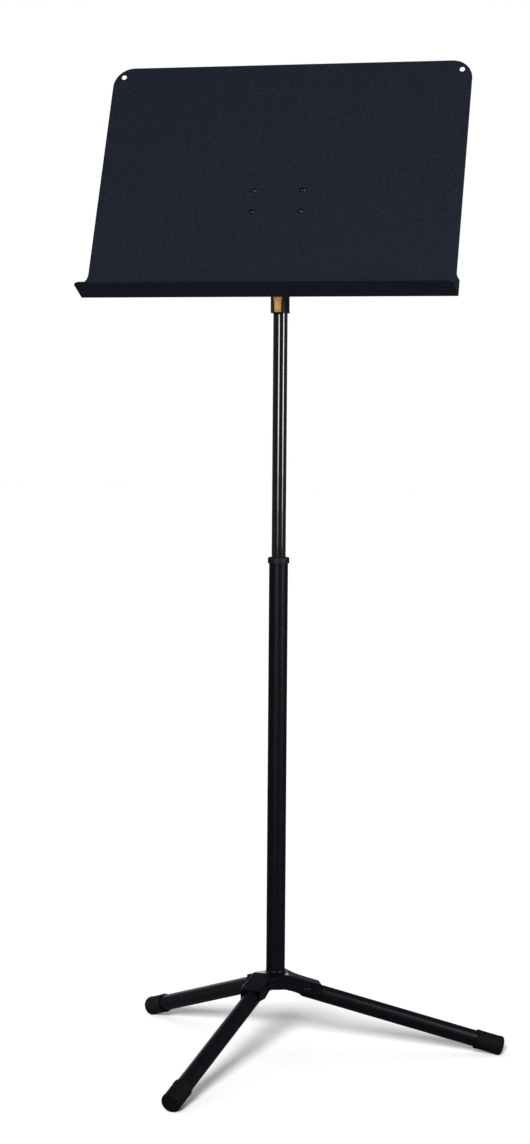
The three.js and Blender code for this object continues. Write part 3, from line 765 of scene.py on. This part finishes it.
def knuckle():
    skin = moulded(cad_copy("tilt_knuckle"), 0.4, 5, 0.5)
    piece("hinge_knuckle", skin, IN_MM, "mast", SATIN, ["tilt_knuckle"], sharp=70)


def washer(name, radius, bore, low, high, body, finish, replaces, origin):
    bm = about("x", lathe(soften([
        (bore, low, 0.25), (radius, low, 0.35), (radius, high, 0.35), (bore, high, 0.25)], 4), 72))
    piece(name, bm, Matrix.Translation(origin) @ IN_MM, body, finish, replaces)


# ------------------------------------------------------------------ desk


def blank_outline(inset):
    """The flat sheet's outline: across it, and along it from its top edge, corners rounded."""
    half, wide = PANEL["half_width"], SHELF["half_width"]
    bend_length = math.pi / 2 * SHELF["bend"]
    to_bend = PANEL["top"] + SHELF["below"] - SHELF["bend"]
    length = to_bend + bend_length + SHELF["depth"] - SHELF["bend"]
    fold_back = PANEL["top"] + SHELF["below"] + PANEL["sheet"]
    turn = math.acos(1 - (wide - half) / FLARE["radius"])
    flare = fold_back - FLARE["rise"]
    start = flare - FLARE["radius"] * math.sin(turn)
    right = [(half, 0, PANEL["round"])]
    radius = FLARE["radius"]
    for step in range(9):
        a = turn * step / 8
        right.append((half + radius * (1 - math.cos(a)), start + radius * math.sin(a), 0))
    right[-1] = (*right[-1][:2], FLARE["shoulder"])
    right.append((wide, length, SHELF["corner"]))
    corners = right + [(-x, s, r) for x, s, r in reversed(right)]
    aside = 1000  # keeps x above zero, where soften() takes the outline for a closed one
    rounded = soften([(x + aside, s, r) for x, s, r in corners], 12, 0.4)
    points = [Vector((p.x - aside, p.y)) for p in rounded]
    return shifted(points, -inset)


def shifted(points, out):
    """A closed outline moved outwards by a distance, whichever way it runs."""
    area = sum(a.x * b.y - b.x * a.y for a, b in zip(points, points[1:] + points[:1]))
    side = 1 if area > 0 else -1
    moved = []
    count = len(points)
    for i, here in enumerate(points):
        before = here - points[i - 1]
        after = points[(i + 1) % count] - here
        if before.length < 1e-6:
            before = after
        if after.length < 1e-6:
            after = before
        n1 = Vector((before.y, -before.x)).normalized() * side
        n2 = Vector((after.y, -after.x)).normalized() * side
        mean = (n1 + n2).normalized()
        moved.append(here + mean * out / max(0.4, mean.dot(n1)))
    return moved


def circle(x, s, radius, sides=40):
    angles = [2 * math.pi * k / sides for k in range(sides)]
    return [Vector((x + radius * math.cos(a), s + radius * math.sin(a))) for a in angles]


def desk_sheet():
    """One sheet of steel, cut, pressed with a plain raised border and folded up into the shelf."""
    edge, lip = 0.45, 0.25  # the cut edge's rounding, and the flat strip beside it
    hole_edge = edge + lip
    sheet = PANEL["sheet"]
    bend_start = PANEL["top"] + SHELF["below"] - SHELF["bend"]
    bend_length = math.pi / 2 * SHELF["bend"]
    flat = bmesh.new()

    def loop(points):
        verts = [flat.verts.new((p.x, p.y, 0)) for p in points]
        return [flat.edges.new((verts[k - 1], verts[k])) for k in range(len(verts))]

    edges = loop(blank_outline(hole_edge))
    screw_hole = SCREW["shank"] + SCREW_THREAD["clearance"] + hole_edge
    for side in (-1, 1):
        centre = (side * CORNER_HOLE["side"], CORNER_HOLE["below"])
        edges += loop(circle(*centre, CORNER_HOLE["radius"] + hole_edge))
        for rise in (-1, 1):
            centre = (side * SCREW["side"], PANEL["top"] - rise * SCREW["rise"])
            edges += loop(circle(*centre, screw_hole, 32))
    bmesh.ops.triangle_fill(flat, edges=edges, use_beauty=True, normal=(0, 0, 1))

    def cut_across(s):
        geom = flat.verts[:] + flat.edges[:] + flat.faces[:]
        bmesh.ops.bisect_plane(flat, geom=geom, plane_co=(0, s, 0), plane_no=(0, 1, 0), dist=1e-4)

    def cut_along(x):
        geom = flat.verts[:] + flat.edges[:] + flat.faces[:]
        bmesh.ops.bisect_plane(flat, geom=geom, plane_co=(x, 0, 0), plane_no=(1, 0, 0), dist=1e-4)

    cut_across(bend_start - 0.4)
    for step in range(9):
        cut_across(bend_start + bend_length * step / 8)
    cut_across(bend_start + bend_length + 0.4)
    bead = BORDER["bead"]
    profile = [-bead - 0.3, -bead, -bead * 0.6, -bead * 0.25, bead * 0.25, bead * 0.6, bead, bead + 0.3]
    for offset in profile:
        for s in (PANEL["top"] - BORDER["top"], PANEL["top"] - BORDER["bottom"]):
            cut_across(s + offset)
        for x in (-BORDER["half_width"], BORDER["half_width"]):
            cut_along(x + offset)
    flat.normal_update()

    middle_s = PANEL["top"] - (BORDER["top"] + BORDER["bottom"]) / 2
    half_s = (BORDER["top"] - BORDER["bottom"]) / 2

    def proud(x, s):
        """How far the pressed border lifts the sheet at a place."""
        out = max(abs(x) - BORDER["half_width"], abs(s - middle_s) - half_s)
        if abs(out) >= bead:
            return 0.0
        return BORDER["proud"] * (0.5 + 0.5 * math.cos(math.pi * out / bead))

    def bent(x, s, deep):
        """A place on the folded sheet, from its place on the flat one and its depth from the face."""
        lift = proud(x, s) - deep
        face, floor, bend = PANEL["face"], -SHELF["below"], SHELF["bend"]
        if s <= bend_start:
            return Vector((x, PANEL["top"] - s, face + lift))
        if s >= bend_start + bend_length:
            return Vector((x, floor + lift, face + bend + s - bend_start - bend_length))
        a = (s - bend_start) / bend
        reach = bend - lift
        return Vector((x, floor + bend - reach * math.sin(a), face + bend - reach * math.cos(a)))

    bm = bmesh.new()
    front = [bm.verts.new(bent(v.co.x, v.co.y, 0)) for v in flat.verts]
    back = [bm.verts.new(bent(v.co.x, v.co.y, sheet)) for v in flat.verts]
    flat.verts.index_update()
    for face in flat.faces:
        index = [v.index for v in face.verts]
        if face.normal.z < 0:
            index.reverse()
        bm.faces.new([front[i] for i in index])
        bm.faces.new([back[i] for i in reversed(index)])

    def rim(points, start):
        """Rounded edge of the sheet round one boundary, from its front face to its back."""
        depths = [(lip, 0.0)]
        for step in range(1, 5):
            a = step / 4 * math.pi / 2
            depths.append((lip + edge * math.sin(a), edge * (1 - math.cos(a))))
        for step in range(5):
            a = step / 4 * math.pi / 2
            depths.append((lip + edge * math.cos(a), sheet - edge * (1 - math.sin(a))))
        outward = [b - a for a, b in zip(points, shifted(points, start))]
        rows = []
        for reach, deep in depths:
            rows.append([bm.verts.new(bent(*(p + n * reach), deep)) for p, n in zip(points, outward)])
        return rows

    def boundary_loops():
        """The flat sheet's outline and holes, each as a run of points."""
        links = {}
        for e in flat.edges:
            if e.is_boundary:
                a, b = e.verts
                links.setdefault(a, []).append(b)
                links.setdefault(b, []).append(a)
        loops = []
        seen = set()
        for first in links:
            if first in seen:
                continue
            chain = [first]
            seen.add(first)
            while True:
                nxt = [v for v in links[chain[-1]] if v not in seen]
                if not nxt:
                    break
                chain.append(nxt[0])
                seen.add(nxt[0])
            loops.append(chain)
        return loops

    for chain in boundary_loops():
        points = [Vector(v.co.xy) for v in chain]
        span = max(p.x for p in points) - min(p.x for p in points)
        rows = rim(points, 1 if span > 100 else -1)
        rows = [[front[v.index] for v in chain], *rows, [back[v.index] for v in chain]]
        count = len(chain)
        for low, high in zip(rows, rows[1:]):
            for k in range(count):
                m = (k + 1) % count
                bm.faces.new((low[k], low[m], high[m], high[k]))
    flat.free()
    bmesh.ops.remove_doubles(bm, verts=bm.verts, dist=1e-4)
    piece("desk_sheet", bm, on_desk(), "desk", TEXTURED, ["desk_tray"], sharp=50)


def bracket():
    skin = moulded(cad_copy("desk_bracket"), 0.4, 4, 0.35)
    piece("hinge_bracket", skin, IN_MM, "desk", SATIN, ["desk_bracket"], sharp=70)


def hexagon(across_flats):
    """A lathe shape that turns the rings out at the flats into a chamfered hexagon."""
    flat = across_flats / 2

    def shape(angle, r, z):
        if r < flat:
            return r, z
        inside = (angle + math.pi / 6) % (math.pi / 3) - math.pi / 6
        corner = flat / math.cos(inside)
        return corner * (r / flat), z - math.copysign((corner - flat) * 0.5, z)

    return shape


def hex_nut(across_flats, bore, height):
    """A nut about Z from 0 to its height, with the round chamfer on both faces."""
    half = height / 2
    flat = across_flats / 2
    profile = [
        (bore, -half + 0.5), (bore + 0.5, -half), (flat * 0.96, -half), (flat, -half + 0.12),
        (flat, half - 0.12), (flat * 0.96, half), (bore + 0.5, half), (bore, half - 0.5)]
    bm = lathe(profile, 96, hexagon(across_flats))
    bm.transform(Matrix.Translation((0, 0, half)))
    return bm


def threaded(radius, low, high, pitch):
    """Profile points up a threaded shank, crest and root for each turn."""
    points = []
    z = low
    while z + pitch < high:
        points += [(radius, z), (radius, z + pitch * 0.15), (radius - pitch * 0.45, z + pitch * 0.5),
                   (radius - pitch * 0.45, z + pitch * 0.62)]
        z += pitch
    return points + [(radius, z), (radius, high - 0.5), (radius - 0.5, high)]


def desk_fixings():
    """Four domed screws through the desk and its bracket, each with its nut behind."""
    face = PANEL["face"]
    seat = face + 0.05
    radius, head, dome = SCREW["shank"], SCREW["head"], SCREW["dome"]
    nut_top = face - PANEL["sheet"] - GAP - BRACKET["sheet"] - GAP
    pitch = SCREW_THREAD["pitch"]
    corners = {"upper_left": (-1, 1), "upper_right": (1, 1), "lower_left": (-1, -1), "lower_right": (1, -1)}
    for name, (side, rise) in corners.items():
        profile = [(0, SCREW["end"]), (radius - 0.4, SCREW["end"])]
        profile += threaded(radius, SCREW["end"] + 0.4, nut_top - 0.2, pitch)[:-2]
        profile += [(radius, nut_top + 0.3), (radius, seat), (head - 0.3, seat), (head, seat + 0.25)]
        ball = (head ** 2 + dome ** 2) / (2 * dome)
        reach = math.asin(head / ball)
        for step in range(1, 13):
            a = reach * (1 - step / 12)
            profile.append((ball * math.sin(a), seat + 0.3 + dome - ball * (1 - math.cos(a))))
        place = on_desk() @ Matrix.Translation((side * SCREW["side"], rise * SCREW["rise"], 0))
        screw = lathe(profile, 56)
        piece(f"screw_{name}", screw, place, "desk", POLISHED, [f"desk_screw_{name}"], sharp=50)
        nut = hex_nut(SCREW_NUT["flats"], radius + SCREW_NUT["bore"], SCREW_NUT["height"])
        nut.transform(Matrix.Translation((0, 0, nut_top - SCREW_NUT["height"])))
        piece(f"nut_{name}", nut, place, "desk", ZINC, [f"desk_nut_{name}"], sharp=28)


def tilt_fixings():
    """The bolt across the hinge, with its flanged head, washer and nut."""
    origin = joint_point("desk_tilt")
    low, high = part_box("tilt_bolt")
    start, end = (low.x - origin.x) / MM, (high.x - origin.x) / MM
    ear, shank, rim = BRACKET["ear"], BOLT["radius"], BOLT["head"]
    head = -ear - GAP
    profile = [tuple(p) for p in soften(
        [(0, start), (rim, start, 1.6), (rim, head, 0.3), (shank, head)], 6)]
    profile += [(shank, ear)] + threaded(shank, ear + 1.5, end, BOLT["pitch"]) + [(0, end)]
    bolt = about("x", lathe(profile, 72))
    piece("hinge_bolt", bolt, Matrix.Translation(origin) @ IN_MM, "desk", ZINC, ["tilt_bolt"], sharp=32)
    low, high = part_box("tilt_washer")
    washer("hinge_washer", (high.z - low.z) / 2 / MM, BOLT["hole"], (low.x - origin.x) / MM,
           (high.x - origin.x) / MM, "desk", ZINC, ["tilt_washer"], origin)
    low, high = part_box("tilt_nut")
    nut = hex_nut(BOLT["nut_flats"], BOLT["hole"], (high.x - low.x) / MM)
    about("x", nut)
    nut.transform(Matrix.Translation(((low.x - origin.x) / MM, 0, 0)))
    piece("hinge_nut", nut, Matrix.Translation(origin) @ IN_MM, "desk", ZINC, ["tilt_nut"], sharp=28)


# ------------------------------------------------------------------ the stand

hub()
weld()
lower_tube()
collar()
plug()
for side in SIDES:
    leg_tube(side)
    foot_cap(side)
    rivet(side)
upper_tube()
housing()
lever()
lever_pin()
clutch_coil()
knuckle()
for side in ("left", "right"):
    low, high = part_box(f"friction_washer_{side}")
    centre = joint_point("desk_tilt")
    washer(f"hinge_disc_{side}", (high.z - low.z) / 2 / MM, BOLT["hole"], (low.x - centre.x) / MM,
           (high.x - centre.x) / MM, "mast", NYLON, [f"friction_washer_{side}"], centre)
desk_sheet()
bracket()
desk_fixings()
tilt_fixings()

# ------------------------------------------------------------------ camera

CAMERA = {
    "distance": 3.3997, "height": 0.85184, "turn": -12.753, "pitch": 3.2460, "yaw": -0.3056,
    "roll": 0.4237, "lens": 79.966,
}


def add_camera():
    """The viewpoint: from the front and a little to the right, at half the stand's height."""
    around = Matrix.Rotation(math.radians(-CAMERA["turn"]), 4, "Z")
    pitch, yaw, roll = (math.radians(CAMERA[k]) for k in ("pitch", "yaw", "roll"))
    level = math.cos(pitch)
    forward = Vector((math.sin(yaw) * level, math.cos(yaw) * level, -math.sin(pitch)))
    right = Vector((math.cos(yaw), -math.sin(yaw), 0))
    up = right.cross(forward)
    x_axis = right * math.cos(roll) + up * math.sin(roll)
    y_axis = up * math.cos(roll) - right * math.sin(roll)
    turn = Matrix((x_axis, y_axis, -forward)).transposed().to_4x4()
    place = Matrix.Translation((0, -CAMERA["distance"], CAMERA["height"])) @ turn
    data = bpy.data.cameras.new("camera")
    data.lens = CAMERA["lens"]
    data.sensor_width = 36
    made = bpy.data.objects.new("camera", data)
    made.matrix_world = Matrix.Translation((POLE.x, POLE.y, 0)) @ around @ place
    bpy.context.scene.collection.objects.link(made)
    bpy.context.scene.camera = made


add_camera()

# ------------------------------------------------------------------ light and floor


def collection_of(name, members):
    """A collection that light linking can name; it isn't shown in the scene by itself."""
    made = bpy.data.collections.new(name)
    for member in members:
        made.objects.link(member)
    return made


def linked(made, receivers, blockers):
    """Puts a light in the scene, lighting only some objects and shadowed only by some."""
    bpy.context.scene.collection.objects.link(made)
    made.light_linking.receiver_collection = receivers
    made.light_linking.blocker_collection = blockers
    made.visible_camera = False


def toward_camera(azimuth):
    """A level direction from the stand; 0 is towards the camera, positive to its right."""
    a = math.radians(azimuth - CAMERA["turn"])
    return Vector((math.sin(a), -math.cos(a), 0))


def softbox(name, azimuth, distance, low, high, width, strength, receivers, blockers):
    """An upright panel of even brightness whose lower part fades out in steps."""
    out = toward_camera(azimuth) * distance
    step = FADE / FADE_STEPS
    parts = [(low + FADE, high, 1.0)]
    for k in range(FADE_STEPS):
        parts.append((low + k * step, low + (k + 1) * step, (k + 0.6) / (FADE_STEPS + 0.6)))
    for k, (foot, top, share) in enumerate(parts):
        data = bpy.data.lights.new(f"{name}_{k}", "AREA")
        data.shape = "RECTANGLE"
        data.size = width
        data.size_y = top - foot
        data.energy = strength * share * width * (top - foot)
        made = bpy.data.objects.new(f"{name}_{k}", data)
        spot = Vector((POLE.x + out.x, POLE.y + out.y, (foot + top) / 2))
        aim = (-out).to_track_quat("-Z", "Y").to_matrix().to_4x4()
        made.matrix_world = Matrix.Translation(spot) @ aim
        linked(made, receivers, blockers)


def far_light(name, azimuth, elevation, softness, strength, receivers, blockers):
    """Parallel light with soft edges to its shadows."""
    data = bpy.data.lights.new(name, "SUN")
    data.energy = strength
    data.angle = math.radians(softness)
    made = bpy.data.objects.new(name, data)
    lift = math.radians(elevation)
    source = toward_camera(azimuth) * math.cos(lift) + Vector((0, 0, math.sin(lift)))
    made.matrix_world = (-source).to_track_quat("-Z", "Y").to_matrix().to_4x4()
    linked(made, receivers, blockers)


def add_floor():
    """White paper that glows enough to stay white, so that only the legs' shadow shows on it."""
    bm = bmesh.new()
    bmesh.ops.create_grid(bm, x_segments=2, y_segments=2, size=30)
    mesh = bpy.data.meshes.new("studio_floor")
    bm.to_mesh(mesh)
    bm.free()
    made = bpy.data.objects.new("studio_floor", mesh)
    made.location.z = -0.0002
    paper = bpy.data.materials.new("studio_paper")
    paper.use_nodes = True
    surface = paper.node_tree.nodes["Principled BSDF"]
    surface.inputs["Base Color"].default_value = (0.85, 0.85, 0.85, 1)
    surface.inputs["Roughness"].default_value = 1.0
    surface.inputs["Specular IOR Level"].default_value = 0.0
    surface.inputs["Emission Color"].default_value = (0.97, 1.0, 0.99, 1)
    surface.inputs["Emission Strength"].default_value = FLOOR_GLOW
    mesh.materials.append(paper)
    bpy.context.scene.collection.objects.link(made)
    made.visible_glossy = False
    made.visible_diffuse = False
    return made


def add_world():
    """White to the camera and a dim cool grey to everything else."""
    world = bpy.data.worlds.new("studio")
    world.use_nodes = True
    tree = world.node_tree
    backdrop = tree.nodes["Background"]
    backdrop.inputs["Color"].default_value = (1, 1, 1, 1)
    backdrop.inputs["Strength"].default_value = 1.0
    around = tree.nodes.new("ShaderNodeBackground")
    around.inputs["Color"].default_value = (0.88, 0.93, 1.0, 1)
    around.inputs["Strength"].default_value = AMBIENT
    mix = tree.nodes.new("ShaderNodeMixShader")
    path = tree.nodes.new("ShaderNodeLightPath")
    tree.links.new(path.outputs["Is Camera Ray"], mix.inputs["Fac"])
    tree.links.new(around.outputs["Background"], mix.inputs[1])
    tree.links.new(backdrop.outputs["Background"], mix.inputs[2])
    tree.links.new(mix.outputs["Shader"], tree.nodes["World Output"].inputs["Surface"])
    bpy.context.scene.world = world


AMBIENT = 0.10
FLOOR_GLOW = 0.09
FADE = 0.26  # metres of each softbox's lower end over which it fades
FADE_STEPS = 3
floor = add_floor()
add_world()
stand = [shown for shown in bpy.data.objects if shown.type == "MESH" and shown is not floor]
low_bodies = ("base", "leg_front", "leg_right", "leg_left")
low_pieces = [shown for shown in stand if shown.get("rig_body") in low_bodies
              and shown.name not in ("lower_mast_tube", "collar_ring")]
hub_names = ("hub_pressing", "pole_weld")
THE_STAND = collection_of("the_stand", stand)
THE_FLOOR = collection_of("the_floor", [floor])
SHADOW_MAKERS = collection_of("shadow_makers", low_pieces)
THE_LEVER = collection_of("lever_pieces", [bpy.data.objects["squeeze_lever"]])
THE_HUB = collection_of("hub_pieces", [shown for shown in low_pieces if shown.name in hub_names])
THE_DESK = collection_of("desk_pieces", [shown for shown in stand if shown.get("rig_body") == "desk"])
LEFT_LEG = collection_of("left_leg", [bpy.data.objects[name] for name in ("leg_left", "foot_left")])
LEGS = collection_of("leg_pieces", [shown for shown in low_pieces if shown.name not in hub_names])
# azimuth, distance, low end, high end, width, strength, what it lights
SOFTBOXES = {
    "left_softbox": (-20, 2.6, 0.57, 2.2, 0.72, 25, THE_STAND),
    "right_softbox": (56, 2.6, 0.57, 2.2, 0.66, 29, THE_STAND),
    "back_fill": (172, 2.8, 0.8, 2.0, 1.8, 16, THE_DESK),
    "lever_fill": (-20, 2.6, 0.3, 1.25, 0.9, 30, THE_LEVER),
    "hub_rim": (-165, 2.4, 0.0, 0.9, 1.4, 15, THE_HUB),
    "leg_rim": (-165, 2.4, 0.0, 0.9, 1.4, 3, LEGS),
    "left_leg_fill": (-75, 2.2, 0.0, 1.1, 1.2, 18, LEFT_LEG),
}
for name, settings in SOFTBOXES.items():
    softbox(name, *settings, THE_STAND)
# azimuth, elevation, softness, strength; both light the floor only
FAR_LIGHTS = {"floor_key": (-8, 23, 12, 6.5), "floor_dome": (-70, 70, 80, 0.8)}
for name, settings in FAR_LIGHTS.items():
    far_light(name, *settings, THE_FLOOR, SHADOW_MAKERS)
bpy.context.scene.view_settings.view_transform = "Standard"
